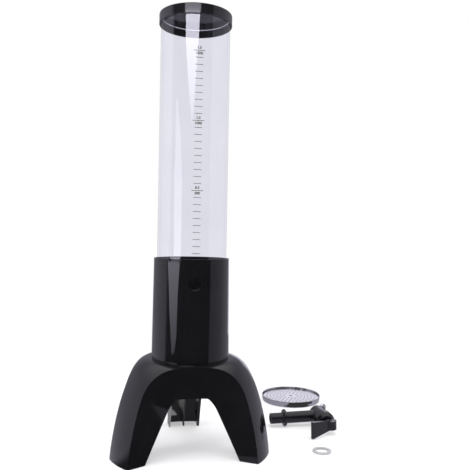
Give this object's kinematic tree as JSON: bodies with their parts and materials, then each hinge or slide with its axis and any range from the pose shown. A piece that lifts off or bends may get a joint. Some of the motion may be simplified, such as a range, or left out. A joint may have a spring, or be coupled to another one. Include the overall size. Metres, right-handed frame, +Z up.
{
  "type": "beer tower dispenser",
  "caption": "Clear graduated tube with lid on a black sleeve and arched tripod, its lever tap, washer and round perforated drip tray laid beside it.",
  "frame": {"origin": "on the floor, at the tower's own axis; the loose tap, washer and drip tray lie off to +X", "axes": "+Z up along the tube; the tap hole faces -Y; +X to the loose pieces"},
  "size_m": [0.3389, 0.3144, 0.561],
  "materials": {
    "tripod_base": "gloss black moulding",
    "base_sleeve": "gloss black moulding",
    "reservoir_cup": "satin dark moulding",
    "base_screws": "zinc plated steel",
    "tube_gasket": "soft pale rubber",
    "measuring_tube": "clear acrylic, bright polished ends",
    "lid": "gloss black moulding",
    "tap_body": "satin black moulding",
    "spout_tube": "polished steel tube",
    "tap_bonnet": "satin black moulding",
    "bonnet_ring": "black rubber",
    "stem_seal": "black rubber",
    "valve_stem": "natural acetal",
    "plunger_seal": "red-brown silicone",
    "valve_spring": "stainless spring wire",
    "lever_pin": "stainless pin",
    "lever": "satin black moulding",
    "seal_washer": "translucent silicone",
    "tray_dish": "polished stainless sheet",
    "tray_grid": "polished stainless sheet"
  },
  "bodies": {
    "base": {"tripod_base": "tripod_base", "base_sleeve": "base_sleeve", "reservoir_cup": "reservoir_cup", "base_screws": "base_screws", "tube_gasket": "tube_gasket"},
    "tube": {"measuring_tube": "measuring_tube"},
    "lid": {"lid": "lid"},
    "tap": {"tap_body": "tap_body", "spout_tube": "spout_tube", "tap_bonnet": "tap_bonnet", "bonnet_ring": "bonnet_ring", "stem_seal": "stem_seal", "valve_spring": "valve_spring"},
    "stem": {"valve_stem": "valve_stem", "plunger_seal": "plunger_seal", "lever_pin": "lever_pin"},
    "lever": {"lever": "lever"},
    "washer": {"seal_washer": "seal_washer"},
    "tray": {"tray_dish": "tray_dish"},
    "grid": {"tray_grid": "tray_grid"}
  },
  "joints": [
    {"name": "tube_lift", "type": "slide", "parent": "base", "child": "tube", "axis": [0, 0, 1], "range_m": [0, 0.06]},
    {"name": "lid_lift", "type": "slide", "parent": "tube", "child": "lid", "axis": [0, 0, 1], "range_m": [0, 0.05]},
    {"name": "tap_lift", "type": "slide", "parent": "base", "child": "tap", "axis": [0, 0, 1], "range_m": [0, 0.08]},
    {"name": "stem_rise", "type": "slide", "parent": "tap", "child": "stem", "axis": [0, -1, 0], "range_m": [0, 0.0041], "deforming": ["valve_spring"]},
    {"name": "lever_tilt", "type": "hinge", "parent": "stem", "child": "lever", "pos_m": [0.198, 0.0245, 0.0135], "axis": [-0.0283, 0, 0.9996], "range_deg": [0, 65]},
    {"name": "washer_lift", "type": "slide", "parent": "base", "child": "washer", "axis": [0, 0, 1], "range_m": [0, 0.04]},
    {"name": "tray_lift", "type": "slide", "parent": "base", "child": "tray", "axis": [0, 0, 1], "range_m": [0, 0.06]},
    {"name": "grid_lift", "type": "slide", "parent": "tray", "child": "grid", "axis": [0, 0, 1], "range_m": [0, 0.04]}
  ],
  "couplings": [
    {"joint": "stem_rise", "follows": "lever_tilt", "m_per_rad": 0.003525}
  ]
}
